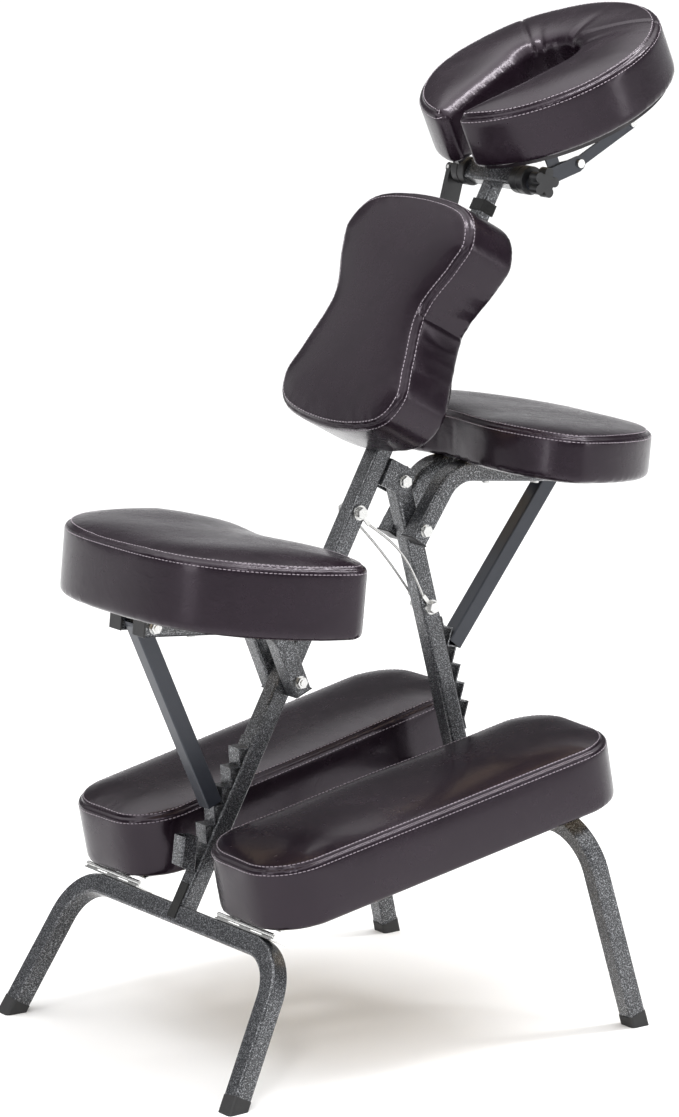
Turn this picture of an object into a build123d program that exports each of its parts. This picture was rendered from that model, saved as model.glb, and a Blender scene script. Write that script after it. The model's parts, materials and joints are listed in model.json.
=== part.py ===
from build123d import *
import math
import os

# Kneeling massage chair: a folding A-frame of square steel tube that carries a
# seat, an arm rest, two knee pads, a chest pad and a face cradle.
# Millimetres. +X is the way the user faces, +Y is the user's left, +Z is up.
# The origin is on the floor, under the middle of the chair's outer box.

# ---------------------------------------------------------------- frame tube
tube = 25.0                 # outer size of the main square tube
wall = 1.5                  # tube wall
tube_corner = 3.5           # outer corner radius of the tube
foot_bend = 62.0            # centre-line radius of the foot frames' bends
cap_wall = 0.8              # rubber foot caps
cap_height = 17.0
cap_grip = 6.0              # length of tube inside a cap

# ------------------------------------------------------- spine and rear foot
rear_foot_x = -402.3        # where the spine's line meets the floor
spine_lean = 28.9           # degrees from vertical, top towards the front
spine_top = 1126.0          # distances up the spine are along its line
rear_bar = 192.0            # the rear foot frame's bar
rear_bar_half = 219.7       # half distance between the leg lines at the bar
rear_foot_half = 246.5      # and at the floor

# -------------------------------------------------------- post and front foot
front_foot_x = 203.2        # where the post's line meets the floor
front_bar = 271.0           # up the post
front_bar_half = 243.4
front_foot_half = 261.2

# ------------------------------------------------------------- main pivots
hinge_up = 799.0            # main hinge, up the spine
hinge_ahead = 44.0          # and in front of its centre line
bracket_height = 36.0
bracket_sheet = 3.0
spine_cable_up = 737.8
post_cable_up = 529.8
seat_pivot_up = 513.4       # up the spine
arm_pivot_up = 638.4        # up the post
bolt_r = 4.0
pivot_gap = 0.08            # running clearance of a pivot bolt, radial
hole_gap = 0.25             # clearance of a fixed bolt, radial
side_gap = 0.5              # beside a tube that swings

# ---------------------------------------------------- folding pad supports
leg_length = 85.0           # pivot to the corner of the bent tube
leg_tail = 15.0             # tube below the pivot
run_length = 197.0          # corner to the tube's open end
support_bend = 62.0         # degrees between leg and run
support_radius = 48.0       # centre-line radius of that bend
strut_hole = 184.5          # strut bolt, along the run from the corner
seat_rise = 5.8             # degrees, the run's open end is higher
arm_rise = -6.4             # degrees, the run's open end is lower
strut = 22.0                # square tube of the two struts
strut_length = 264.6
strut_foot_out = 25.5       # middle of the strut's foot, off the centre line
tooth_pitch = 25.7
tooth_count = 5
seat_tooth = 4              # the tooth in use, counted from the top
arm_tooth = 2
tooth_root = 1.1            # middle of the sheet behind the tube's face
tooth_tip = 13.0
tooth_rise = 6.6            # root above tip, along the tube
ratchet_width = 22.0
ratchet_sheet = 2.0
foot_clearance = 0.6        # strut foot above its tooth
socket_up = 247.0           # parking socket below the seat ratchet
socket_length = 46.0
socket_lean = 21.8          # degrees off the spine

# ------------------------------------------------------------------- pads
pad_half_width = 231.0      # seat and arm rest, across the chair
pad_far = 202.0             # from the widest line to the rounded side
pad_near = 63.0             # from the widest line to the shallow side
pad_dip = 21.0              # hollow in the middle of the shallow side
dip_width = 75.0
seat_thick = 90.0           # board and cushion
arm_thick = 61.0
seat_pad_out = 31.5         # widest line, along the run from the corner
arm_pad_out = 48.0
board = 12.0                # plywood
board_inset = 14.0
cover_start = 0.5           # the cover starts this far above the board's foot

knee_length = 541.0
knee_width = 190.0
knee_thick = 84.0
knee_corner = 70.0
knee_toe = 1.8              # degrees, the fronts are further apart
knee_spread = 153.4         # middle of each pad, off the centre plane
knee_back = 8.0             # cover behind the hinge pin
knee_rest_gap = 1.5         # board above the front rest strip
strip = 2.0                 # rest strip on the front bar
knuckle_r = 3.0
knuckle_up = 6.3            # hinge pin above the bar's top face
leaf = 2.0                  # hinge leaf
leaf_length = 118.0
pin_r = 1.5

chest_drop = 150.0          # middle of the chest pad below the spine's top
chest_middle = spine_top - chest_drop
chest_half_length = 160.0
chest_top_half = 128.0
chest_waist_half = 96.0
chest_bottom_half = 125.0
chest_back = 16.0           # cover's back, behind the spine's centre line
chest_face = 97.0           # and its face
chest_plate = 3.0
chest_bolt_spacing = 120.0

# ------------------------------------------------------------ face cradle
stem = 20.0                 # square tube that slides in the spine
stem_engaged = 80.0         # length of stem inside the spine
stem_foot = spine_top - stem_engaged
crossbar_above = 73.0      # middle of the crossbar above the spine's top
crossbar_up = spine_top + crossbar_above
crossbar_half = 46.0
clutch_r = 18.0
clutch_half = 13.0          # length of one clutch half
plate = 3.0                 # cradle arms and rails
rod_r = 3.0
arm_bolt_along = 73.7       # from the clutch axis, along the platform
arm_bolt_below = 14.3
rail_bolt_along = 172.0
rail_bolt_below = 8.5
cradle_tilt = 23.8          # degrees, the platform's front is higher
cradle_reach = 116.4        # clutch axis to the ring's middle
cradle_lift = 27.3          # clutch axis to the board's underside
cradle_thick = 74.0
cradle_radius = 161.0
ring_board = 6.0
ring_inset = 13.0
mouth_half = 12.0           # half width of the opening at the user's side
hole_half = 46.0            # and where the face lies
hole_middle = 8.0           # the hole's round end, ahead of the ring's middle
knob_r = 19.0
knob_length = 25.0
lever_length = 66.0
lever_width = 25.0

# ---------------------------------------------------------------- cables
cable_r = 1.5
near_bow = 12.5
far_bow = 3.0
eye = 3.0                   # thickness of the crimped eyes
ferrule_length = 14.0

half = tube / 2
clear = 0.3                 # soft parts off their neighbours
nodes = {}


# ================================================================= helpers
def keep(name, *parts):
    """Store one node: its solids stay separate."""
    solids = []
    for part in parts:
        solids.extend(part.solids())
    nodes[name] = solids[0] if len(solids) == 1 else Compound(children=solids)


def block(x0, x1, y0, y1, z0, z1):
    size = (x1 - x0, y1 - y0, z1 - z0)
    return Pos((x0 + x1) / 2, (y0 + y1) / 2, (z0 + z1) / 2) * Box(*size)


def rod(radius, y0, y1, x=0.0, z=0.0):
    """A round bar along Y."""
    return Pos(x, (y0 + y1) / 2, z) * Rot(90, 0, 0) * Cylinder(radius, y1 - y0)


def hexagon(across, y0, y1, x=0.0, z=0.0):
    """A hexagonal head or nut along Y."""
    outline = RegularPolygon(across / math.sqrt(3), 6)
    return Pos(x, y1, z) * Rot(90, 0, 0) * extrude(outline, y1 - y0)


def cross_bolt(x, z, y0, y1, radius=bolt_r, across=13.0, washer=8.0):
    """A bolt along Y: washer and head outside y0, washer and nut outside y1."""
    body = rod(radius, y0 - 1.2, y1 + 7.5, x, z)
    body += rod(washer, y0 - 1.2, y0, x, z)
    body += rod(washer, y1, y1 + 1.2, x, z)
    body += hexagon(across, y0 - 6.2, y0 - 1.2, x, z)
    body += hexagon(across, y1 + 1.2, y1 + 6.2, x, z)
    return body


def drill(part, radius, x, z):
    """Drill a part right through along Y."""
    return part - rod(radius, -400, 400, x, z)


def section(size, corner):
    return RectangleRounded(size, size, corner)


def straight_tube(size, z0, z1):
    outer = extrude(section(size, tube_corner), z1 - z0)
    inner = extrude(section(size - 2 * wall, tube_corner - wall), z1 - z0)
    return Pos(0, 0, z0) * (outer - inner)


def bent_tube(points, radius, side):
    """A square tube along straight runs joined by bends, square to side."""
    path = FilletPolyline(*points, radius=radius)
    plane = Plane(origin=path @ 0, x_dir=side, z_dir=path % 0)
    outer = sweep(plane * section(tube, tube_corner), path=path)
    inner = sweep(plane * section(tube - 2 * wall, tube_corner - wall), path=path)
    return outer - inner


def tube_plug(length, size=tube):
    """A plastic plug: a rim outside the tube's end and a stem inside it."""
    rim = Pos(0, 0, 1) * Box(size, size, 2)
    rim = fillet(rim.edges().group_by(Axis.Z)[-1], 0.8)
    inside = section(size - 2 * wall - 0.1, tube_corner - wall)
    return rim + Pos(0, 0, -length) * extrude(inside, length)


# ================================================================== frames
def up(angle):
    """Unit vectors along and square to a line that leans by angle."""
    lean = math.radians(angle)
    return Vector(math.sin(lean), 0, math.cos(lean)), Vector(math.cos(lean), 0, -math.sin(lean))


on_spine = Location((rear_foot_x, 0, 0), (0, spine_lean, 0))
hinge_point = (on_spine * Pos(hinge_ahead, 0, hinge_up)).position
post_run = front_foot_x - hinge_point.X
post_lean = math.degrees(math.atan2(post_run, hinge_point.Z))
hinge_on_post = math.hypot(post_run, hinge_point.Z)
on_post = Location((front_foot_x, 0, 0), (0, -post_lean, 0))


def spine_point(ahead, height):
    return (on_spine * Pos(ahead, 0, height)).position


def post_point(ahead, height):
    return (on_post * Pos(ahead, 0, height)).position


# ============================================================== foot frames
def foot_frame(bar, bar_half, foot_half, place):
    """The bent tube and its two rubber caps, in the plane of its upright."""
    spread = math.degrees(math.atan2(foot_half - bar_half, bar))
    end = cap_height - cap_grip
    end_half = foot_half - end * (foot_half - bar_half) / bar
    points = [(0, -end_half, end), (0, -bar_half, bar), (0, bar_half, bar), (0, end_half, end)]
    bent = place * bent_tube(points, foot_bend, (1, 0, 0))
    floor = block(-2000, 2000, -2000, 2000, 0, 400)
    caps = []
    for side in (-1, 1):
        cap = extrude(section(tube + 2 * cap_wall, tube_corner + cap_wall), cap_height + 30)
        cap = Pos(0, side * foot_half, 0) * Rot(side * spread, 0, 0) * Pos(0, 0, -30) * cap
        outside = place * cap & floor
        core = extrude(section(tube, tube_corner), 60)
        core = Pos(0, side * foot_half, 0) * Rot(side * spread, 0, 0) * Pos(0, 0, end) * core
        caps.append(outside - place * core)
    return bent, caps


rear_frame, rear_caps = foot_frame(rear_bar, rear_bar_half, rear_foot_half, on_spine)
front_frame, front_caps = foot_frame(front_bar, front_bar_half, front_foot_half, on_post)
keep("rear_foot_frame", rear_frame)
keep("rear_foot_caps", *rear_caps)
keep("front_foot_frame", front_frame)
keep("front_foot_caps", *front_caps)

# =========================================================== spine and post
lock_up = spine_top - 30.0
chest_bolts = [chest_middle + side * chest_bolt_spacing / 2 for side in (-1, 1)]
spine = straight_tube(tube, rear_bar + half, spine_top)
for height in (spine_cable_up, seat_pivot_up):
    spine = drill(spine, bolt_r + hole_gap, 0, height)
spine -= Pos(half, 0, lock_up) * Rot(0, 90, 0) * Cylinder(bolt_r + hole_gap, tube)
for height in chest_bolts:
    spine -= Pos(0, 0, height) * Rot(0, 90, 0) * Cylinder(3.0 + hole_gap, 2 * tube)
keep("spine_tube", on_spine * spine)

collar = block(-half - 2.5, half + 2.5, -half - 2.5, half + 2.5, spine_top - 20, spine_top + 2)
collar -= block(-half, half, -half, half, spine_top - 21, spine_top)
bore = stem / 2 + 0.4
collar -= block(-bore, bore, -bore, bore, spine_top - 1, spine_top + 3)
keep("spine_collar", on_spine * collar)

nut = Pos(half + 4, 0, lock_up) * Rot(0, 90, 0) * Cylinder(8.5, 8)
nut -= Pos(half, 0, lock_up) * Rot(0, 90, 0) * Cylinder(bolt_r + pivot_gap, 40)
nut -= block(0, half, -20, 20, lock_up - 20, lock_up + 20)
keep("stem_lock_nut", on_spine * nut)

post = straight_tube(tube, front_bar + half, hinge_on_post + half + 1)
post = drill(post, bolt_r + hole_gap, 0, post_cable_up)
post = drill(post, bolt_r + hole_gap, 0, arm_pivot_up)
post = drill(post, bolt_r + pivot_gap, 0, hinge_on_post)
keep("front_post", on_post * post)
plug = drill(Pos(0, 0, hinge_on_post + half + 1) * tube_plug(6), bolt_r + 1, 0, hinge_on_post)
keep("post_top_plug", on_post * plug)

# Clevis: a back against the spine and two ears that hold the post's bolt.
ear_in = half + side_gap
ear_out = ear_in + bracket_sheet
top = hinge_up + bracket_height / 2
foot = hinge_up - bracket_height / 2
reach = hinge_ahead + bracket_height / 2 - 5
bracket = block(half, reach, -ear_out, ear_out, foot, top)
bracket -= block(half + bracket_sheet, reach + 1, -ear_in, ear_in, foot - 1, top + 1)
bracket = fillet(bracket.edges().filter_by(Axis.Y).group_by(Axis.X)[-1], 11)
bracket = drill(bracket, bolt_r + hole_gap, hinge_ahead, hinge_up)
keep("hinge_bracket", on_spine * bracket)
hinge_bolt = cross_bolt(hinge_ahead, hinge_up, -ear_out, ear_out)


# ================================================= folding seat and arm rest
pivot_bolts = {}


def pad_outline(inset):
    """Kidney outline: +X is the rounded side, -X the hollow side."""
    width = pad_half_width - inset
    steps = 28
    points = []
    for step in range(steps):
        angle = 2 * math.pi * step / steps
        across = width * math.sin(angle)
        swell = max(0.0, 1 - abs(math.sin(angle)) ** 2.81) ** 0.488
        if math.cos(angle) >= 0:
            along = (pad_far - inset) * swell
        else:
            dip = pad_dip * math.exp(-((across / dip_width) ** 2))
            along = -(pad_near - inset) * swell + dip
        points.append((along, across))
    return make_face(Spline(*points, periodic=True))


def ratchet(first):
    """Zigzag strip behind a tube's face, from its first tooth downwards."""
    root = half + tooth_root
    tip = half + tooth_tip
    line = [(root, first + tooth_rise + 14)]
    for tooth in range(tooth_count):
        height = first - tooth * tooth_pitch
        line.append((root, height + tooth_rise))
        line.append((tip, height))
    last = first - tooth_count * tooth_pitch
    line.append((root, last + tooth_rise))
    line.append((root, last + tooth_rise - 14))
    outline = Plane.XZ * offset_line(line, ratchet_sheet / 2)
    bent = extrude(outline, ratchet_width / 2, both=True)
    return bent - block(-half, half, -tube, tube, last - 40, first + 40)


def offset_line(line, reach_out):
    """A sheet's side view: the line thickened both ways, with mitred corners."""
    left = []
    right = []
    for index, spot in enumerate(line):
        before = line[max(index - 1, 0)]
        after = line[min(index + 1, len(line) - 1)]
        first_way = Vector(spot[0] - before[0], spot[1] - before[1])
        next_way = Vector(after[0] - spot[0], after[1] - spot[1])
        if first_way.length < 1e-6:
            first_way = next_way
        if next_way.length < 1e-6:
            next_way = first_way
        first_side = Vector(-first_way.Y, first_way.X).normalized()
        next_side = Vector(-next_way.Y, next_way.X).normalized()
        mitre = (first_side + next_side).normalized()
        scale_out = reach_out / max(mitre.dot(first_side), 0.3)
        left.append((spot[0] + mitre.X * scale_out, spot[1] + mitre.Y * scale_out))
        right.append((spot[0] - mitre.X * scale_out, spot[1] - mitre.Y * scale_out))
    return make_face(Polyline(*left, *reversed(right), close=True))


def cushion_on(outline, board_outline, thick):
    """A padded block with a pocket that its board sits in."""
    soft = Pos(0, 0, cover_start) * extrude(outline, thick - cover_start)
    soft = fillet(soft.edges().group_by(Axis.Z)[-1], 9)
    return soft - extrude(board_outline, board)


def pad_support(name, pivot, turn, lean, rise, thick, pad_out, tooth):
    """Bent tubes, board, cushion and strut of one folding pad.

    They are made in a frame at the pivot whose +X points away from the upright.
    Returns where the ratchet's first tooth belongs, up from the pivot.
    """
    place = Location(pivot, (0, 0, turn))
    leg_angle = math.radians(support_bend + rise)
    run_angle = math.radians(rise)
    leg_way = Vector(math.cos(leg_angle), 0, math.sin(leg_angle))
    run_way = Vector(math.cos(run_angle), 0, math.sin(run_angle))
    corner = leg_way * leg_length
    tail = leg_way * -leg_tail
    end = corner + run_way * run_length
    strut_top = corner + run_way * strut_hole
    tube_y = half + side_gap + half
    run_frame = Location(corner, (0, -rise, 0))

    screws = [(along, side * tube_y) for along in (pad_out + 10, pad_out + 90) for side in (-1, 1)]
    tubes = []
    for side in (-1, 1):
        shift = Vector(0, side * tube_y, 0)
        bent = bent_tube([tail + shift, corner + shift, end + shift], support_radius, (0, 1, 0))
        bent = drill(bent, bolt_r + pivot_gap, 0, 0)
        bent = drill(bent, bolt_r + hole_gap, strut_top.X, strut_top.Z)
        for along, across in screws:
            bent -= run_frame * Pos(along, across, 0) * Cylinder(2.75, 60)
        tubes.append(place * bent)
    keep(name + "_support_tubes", *tubes)
    plugs = []
    for side in (-1, 1):
        plugs.append(place * run_frame * Pos(run_length, side * tube_y, 0) * Rot(0, 90, 0) * tube_plug(5))
        foot_spot = Location(tail + Vector(0, side * tube_y, 0), (0, -rise, 0))
        plugs.append(place * foot_spot * Rot(0, -90 - support_bend, 0) * tube_plug(5))
    keep(name + "_tube_plugs", *plugs)

    on_run = place * run_frame * Pos(pad_out, 0, half)
    board_face = pad_outline(board_inset)
    panel = extrude(board_face, board)
    for along, across in screws:
        panel -= Pos(along - pad_out, across, 0) * Cylinder(2.75, 18)
    keep(name + "_board", on_run * panel)
    keep(name + "_cushion", on_run * cushion_on(pad_outline(0), board_face, thick))
    fixings = []
    for along, across in screws:
        screw = Pos(0, 0, -9) * Cylinder(2.5, 2 * half + 18 - 9)
        screw += Pos(0, 0, -half - 12.5 - 1.5) * Cylinder(5, 3)
        fixings.append(place * run_frame * Pos(along, across, 12.5) * screw)
    tube_out = tube_y + half
    fixings.append(place * cross_bolt(strut_top.X, strut_top.Z, -tube_out, tube_out))
    keep(name + "_fasteners", *fixings)
    pivot_bolts[name] = place * cross_bolt(0, 0, -tube_out, tube_out)

    upright, outward = Vector(-math.sin(lean), 0, math.cos(lean)), Vector(math.cos(lean), 0, math.sin(lean))
    out_top = strut_top.dot(outward)
    slope = math.asin((out_top - strut_foot_out) / strut_length)
    down = outward * -math.sin(slope) + upright * -math.cos(slope)
    strut_turn = math.degrees(math.atan2(-down.X, -down.Z))
    strut_frame = Location(strut_top, (0, strut_turn, 0))
    body = extrude(section(strut, 2.0), strut_length + half - 1)
    body -= extrude(section(strut - 2 * wall, 1.0), strut_length + half - 1)
    body = Pos(0, 0, -strut_length) * body
    body -= block(-half, half, -half, half, 0, half) - rod(strut / 2, -half, half)
    body = drill(body, bolt_r + pivot_gap, 0, 0)
    keep(name + "_strut", place * strut_frame * body)
    tip_out = half + tooth_tip + ratchet_sheet / 2
    along_face = (strut_foot_out - foot_clearance * math.sin(slope) - tip_out) / math.cos(slope)
    foot_up = strut_top.dot(upright) - strut_length * math.cos(slope)
    tip_up = foot_up - foot_clearance * math.cos(slope) + along_face * math.sin(slope)
    return tip_up - ratchet_sheet / 2 + (tooth - 1) * tooth_pitch


seat_pivot = spine_point(0, seat_pivot_up)
seat_first = pad_support(
    "seat", seat_pivot, 180, math.radians(spine_lean), seat_rise, seat_thick, seat_pad_out, seat_tooth
)
arm_pivot = post_point(0, arm_pivot_up)
arm_first = pad_support(
    "arm_rest", arm_pivot, 0, math.radians(post_lean), arm_rise, arm_thick, arm_pad_out, arm_tooth
)
keep("seat_ratchet", on_spine * Rot(0, 0, 180) * ratchet(seat_pivot_up + seat_first))
keep("arm_rest_ratchet", on_post * ratchet(arm_pivot_up + arm_first))

socket = Pos(0, 0, -20) * straight_tube(strut + 1, 0, socket_length + 20)
socket_frame = Pos(-half, 0, socket_up) * Rot(0, -socket_lean, 0) * Pos(-(strut + 1) / 2, 0, 0)
socket = socket_frame * socket - block(-half, half, -20, 20, socket_up - 60, socket_up + 80)
socket -= block(-80, 0, -20, 20, socket_up - 60, socket_up)
keep("parking_socket", on_spine * socket)

patch = block(-half - 1.5, -half, -8, 8, rear_bar - 6, rear_bar + 40)
keep("hook_tape_patch", on_spine * patch)


# ================================================================ knee pads
pin_spot = spine_point(-half - 0.5, rear_bar + half + knuckle_up)
rest_spot = post_point(half, front_bar + half + strip)
board_over_pin = knuckle_r + 0.5
knee_span = rest_spot - pin_spot
knee_angle = math.atan2(knee_span.Z, knee_span.X)
knee_angle += math.asin((knee_rest_gap - board_over_pin) / knee_span.length)
knee_slope = math.degrees(knee_angle)
on_pin = Location(pin_spot, (0, -knee_slope, 0))
knee_middle = knee_length / 2 - knee_back
pin_y = knee_spread - math.sin(math.radians(knee_toe)) * knee_middle


def knuckles(first, last, y_middle):
    """Every second piece of a hinge barrel, from first to last of five."""
    step = leaf_length / 5
    barrel = None
    for index in range(first, last, 2):
        y0 = y_middle - leaf_length / 2 + index * step + 0.15
        piece = rod(knuckle_r, y0, y0 + step - 0.3)
        barrel = piece if barrel is None else barrel + piece
    return barrel


lower_leaves = []
hinge_pins = []
for word, side in (("right", -1), ("left", 1)):
    across = side * pin_y
    edge0 = across - leaf_length / 2
    edge1 = across + leaf_length / 2
    step = leaf_length / 5

    fixed = knuckles(0, 5, across)
    plate_top = block(-3.0, 24.0, edge0, edge1, -knuckle_up, -knuckle_up + leaf)
    stand = block(-0.5, 1.5, edge0, edge1, -knuckle_up, -1.5)
    lower = plate_top + stand
    for index in (1, 3):
        y0 = edge0 + index * step - 0.15
        lower -= block(-5, 4, y0, y0 + step + 0.3, -knuckle_up + leaf, 5)
    spine_turn = Location(pin_spot, (0, spine_lean, 0))
    lower = spine_turn * lower
    lower = lower + Location(pin_spot) * fixed
    lower -= Location(pin_spot) * rod(pin_r + 0.05, edge0 - 1, edge1 + 1)
    lower_leaves.append(lower)

    moving = on_pin * knuckles(1, 5, across)
    under = board_over_pin - leaf
    leaf_plate = block(9.5, 36, edge0, edge1, under, board_over_pin)
    tab = block(0, 10, edge0, edge1, under, board_over_pin)
    web = block(0, knuckle_r - 0.2, edge0, edge1, 0, board_over_pin)
    for index in (0, 2, 4):
        y0 = edge0 + index * step - 0.15
        tab -= block(-1, 9.5, y0, y0 + step + 0.3, under - 1, board_over_pin + 1)
        web -= block(-1, 9.5, y0, y0 + step + 0.3, -5, board_over_pin + 1)
    upper = moving + on_pin * (leaf_plate + tab + web)
    upper -= Location(pin_spot) * rod(pin_r + 0.05, edge0 - 1, edge1 + 1)
    keep("knee_hinge_upper_" + word, upper)
    hinge_pins.append(Location(pin_spot) * rod(pin_r, edge0 - 1.5, edge1 + 1.5))

    toe = Pos(knee_middle, side * knee_spread, board_over_pin) * Rot(0, 0, side * knee_toe)
    knee_face = RectangleRounded(knee_length, knee_width, knee_corner)
    board_size = (knee_length - 2 * board_inset, knee_width - 2 * board_inset)
    knee_board_face = RectangleRounded(*board_size, knee_corner - board_inset)
    keep("knee_board_" + word, on_pin * toe * extrude(knee_board_face, board))
    keep("knee_cushion_" + word, on_pin * toe * cushion_on(knee_face, knee_board_face, knee_thick))

keep("knee_hinge_lower_leaves", *lower_leaves, *hinge_pins)

strips = []
for side in (-1, 1):
    y0 = side * knee_spread - 60
    strips.append(on_post * block(-half + 2, half, y0, y0 + 120, front_bar + half, front_bar + half + strip))
keep("knee_rest_strips", *strips)


# ================================================================ chest pad
def chest_outline(inset):
    """Hourglass outline, X across the chair and Y up the spine."""
    low = chest_bottom_half - inset
    waist = chest_waist_half - inset
    high = chest_top_half - inset
    ends = chest_half_length - inset
    side_points = [
        (0, ends),
        (high * 0.72, ends * 0.93),
        (high, ends * 0.68),
        (high * 0.93, ends * 0.42),
        (waist, ends * 0.06),
        (low * 0.9, -ends * 0.36),
        (low, -ends * 0.66),
        (low * 0.76, -ends * 0.91),
        (0, -ends),
    ]
    mirrored = [(-x, y) for x, y in reversed(side_points[1:-1])]
    return make_face(Spline(*side_points, *mirrored, periodic=True))


# The chest pad's own frame: Z points from the spine towards the user.
on_chest = on_spine * Pos(-half, 0, chest_middle) * Rot(0, -90, 0) * Rot(0, 0, 90)
chest_gap = chest_back - half
backing = Pos(0, 0, chest_plate / 2) * Box(70, chest_bolt_spacing + 40, chest_plate)
chest_panel = Pos(0, 0, chest_plate) * extrude(chest_outline(board_inset), board)
chest_soft = extrude(chest_outline(0), chest_face - chest_back)
chest_soft = fillet(chest_soft.edges().group_by(Axis.Z)[-1], 10)
chest_soft = Pos(0, 0, chest_gap) * chest_soft - chest_panel
chest_bolt_parts = []
for side in (-1, 1):
    spot = Pos(0, side * chest_bolt_spacing / 2, 0)
    hole = spot * Cylinder(3.0 + hole_gap, 60)
    backing -= hole
    chest_panel -= spot * Cylinder(3.0 + hole_gap, 2 * (chest_plate + board))
    shank = Pos(0, 0, -tube - 8) * extrude(Circle(3), tube + 8 + chest_plate + board)
    shank += Pos(0, 0, -tube - 6) * extrude(RegularPolygon(6.3, 6), 6)
    chest_bolt_parts.append(on_chest * spot * shank)
keep("chest_mounting", on_chest * backing, *chest_bolt_parts)
keep("chest_board", on_chest * chest_panel)
keep("chest_cushion", on_chest * chest_soft)

# ===================================================== head stem and cradle
stem_tube = straight_tube(stem, stem_foot, crossbar_up - half)
keep("head_stem", on_spine * stem_tube)
wrap = block(-stem / 2 - 1.2, stem / 2 + 1.2, -stem / 2 - 1.2, stem / 2 + 1.2, spine_top + 21, spine_top + 36)
wrap -= block(-stem / 2, stem / 2, -stem / 2, stem / 2, spine_top, spine_top + 60)
keep("stem_tape_wrap", on_spine * wrap)

axis_spot = spine_point(0, crossbar_up)
crossbar = Rot(90, 0, 0) * straight_tube(tube, -crossbar_half, crossbar_half)
keep("head_crossbar", Location(axis_spot, (0, spine_lean, 0)) * crossbar)


def round_edges(part, amount):
    return fillet(part.edges().filter_by(GeomType.CIRCLE), amount)


inner_out = crossbar_half + clutch_half
outer_in = inner_out + clear
outer_out = inner_out + clutch_half
inner_halves = []
outer_halves = []
for side in (-1, 1):
    inner = rod(clutch_r, crossbar_half, inner_out)
    inner = round_edges(inner, 1.5) - rod(rod_r + 0.3, 0, 200)
    outer = rod(clutch_r, outer_in, outer_out)
    outer = round_edges(outer, 1.5) - rod(rod_r + 0.3, 0, 200)
    flip = Rot(0, 0, 0 if side > 0 else 180)
    inner_halves.append(Location(axis_spot) * flip * inner)
    outer_halves.append(Location(axis_spot) * flip * outer)
keep("clutch_inner_halves", *inner_halves)
keep("clutch_outer_halves", *outer_halves)

on_cradle = Location(axis_spot, (0, -cradle_tilt, 0))


def link_plate(spots, y0, y1):
    """A flat plate along Y that wraps a chain of circles (x, z, radius)."""
    body = None
    for first, second in zip(spots, spots[1:]):
        along = Vector(second[0] - first[0], 0, second[1] - first[1])
        angle = math.degrees(math.atan2(along.Z, along.X))
        slab = Pos(along.length / 2, 0, 0) * Box(along.length, y1 - y0, first[2] + second[2])
        slab = Location((first[0], (y0 + y1) / 2, first[1]), (0, -angle, 0)) * slab
        piece = slab + rod(first[2], y0, y1, first[0], first[1])
        piece += rod(second[2], y0, y1, second[0], second[1])
        body = piece if body is None else body + piece
    return body


arm_in = outer_out
arm_out = arm_in + plate
rail_out = arm_in - clear
rail_in = rail_out - plate
arm_spot = (arm_bolt_along, -arm_bolt_below)
rail_spot = (rail_bolt_along, -rail_bolt_below)
arms = []
rails = []
arm_bolts = []
lug_bolts = []
for side in (-1, 1):
    arm = link_plate([(0, -4, 11), (arm_spot[0], arm_spot[1], 9)], arm_in, arm_out)
    arm -= rod(rod_r + 0.3, 0, 200)
    arm -= rod(2.5 + hole_gap, 0, 200, *arm_spot)
    rail = link_plate([(arm_spot[0] - 40, -2, 6), (*arm_spot, 7), (*rail_spot, 7)], rail_in, rail_out)
    for start in (arm_spot[0] - 44, rail_spot[0] - 14):
        rail += block(start, start + 18, rail_in, rail_out, -6, cradle_lift)
        rail += block(start, start + 18, rail_in - 12, rail_out, cradle_lift - 2, cradle_lift)
    rail -= rod(2.5 + pivot_gap, 0, 200, *arm_spot)
    rail -= rod(2.5 + hole_gap, 0, 200, *rail_spot)
    pin = rod(2.5, rail_in - 4.5, arm_out + 3.5, *arm_spot)
    pin += rod(5.5, arm_out, arm_out + 3.5, *arm_spot)
    pin += hexagon(8, rail_in - 4.5, rail_in - 0.5, *arm_spot)
    stud = rod(2.5, rail_in - 4, rail_out + 3.5, *rail_spot)
    stud += rod(5.5, rail_out, rail_out + 3.5, *rail_spot)
    stud += hexagon(8, rail_in - 4, rail_in, *rail_spot)
    if side < 0:
        arm, rail, pin, stud = [mirror(item, about=Plane.XZ) for item in (arm, rail, pin, stud)]
    arms.append(on_cradle * arm)
    rails.append(on_cradle * rail)
    arm_bolts.append(on_cradle * pin)
    lug_bolts.append(on_cradle * stud)
keep("cradle_arms", *arms)
keep("platform_rails", *rails)
keep("cradle_arm_bolts", *arm_bolts)
keep("platform_lug_bolts", *lug_bolts)


def horseshoe(inset):
    """Round outline with a pear-shaped opening at the user's side."""
    outer = Circle(cradle_radius - inset)
    hole = Pos(hole_middle, 0) * Circle(hole_half + inset)
    throat = Polygon(
        (hole_middle + 5, hole_half + inset),
        (-cradle_radius - 5, mouth_half + inset),
        (-cradle_radius - 5, -mouth_half - inset),
        (hole_middle + 5, -hole_half - inset),
        align=None,
    )
    return outer - hole - throat


on_ring = on_cradle * Pos(cradle_reach, 0, cradle_lift)
keep("platform_board", on_ring * extrude(horseshoe(ring_inset), ring_board))
face_soft = extrude(horseshoe(0), cradle_thick)
keep("face_cushion", on_ring * Pos(0, 0, ring_board) * face_soft)

rod_end = arm_out + 6
clamp_rod = rod(rod_r, -rod_end - 8, rod_end + 4)
star = Circle(knob_r * 0.62)
for lobe in range(5):
    star += Rot(0, 0, 72 * lobe) * Pos(knob_r * 0.68, 0) * Circle(knob_r * 0.34)
star = extrude(star, knob_length * 0.55)
star += Pos(0, 0, -knob_length * 0.45) * extrude(Circle(knob_r * 0.55), knob_length * 0.45)
star = Rot(90, 0, 0) * star
star = Pos(0, -arm_out - 1 - knob_length * 0.45, 0) * star
star -= rod(rod_r + 0.1, -rod_end - 8.2, 0)
keep("star_knob", Location(axis_spot) * star)

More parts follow.
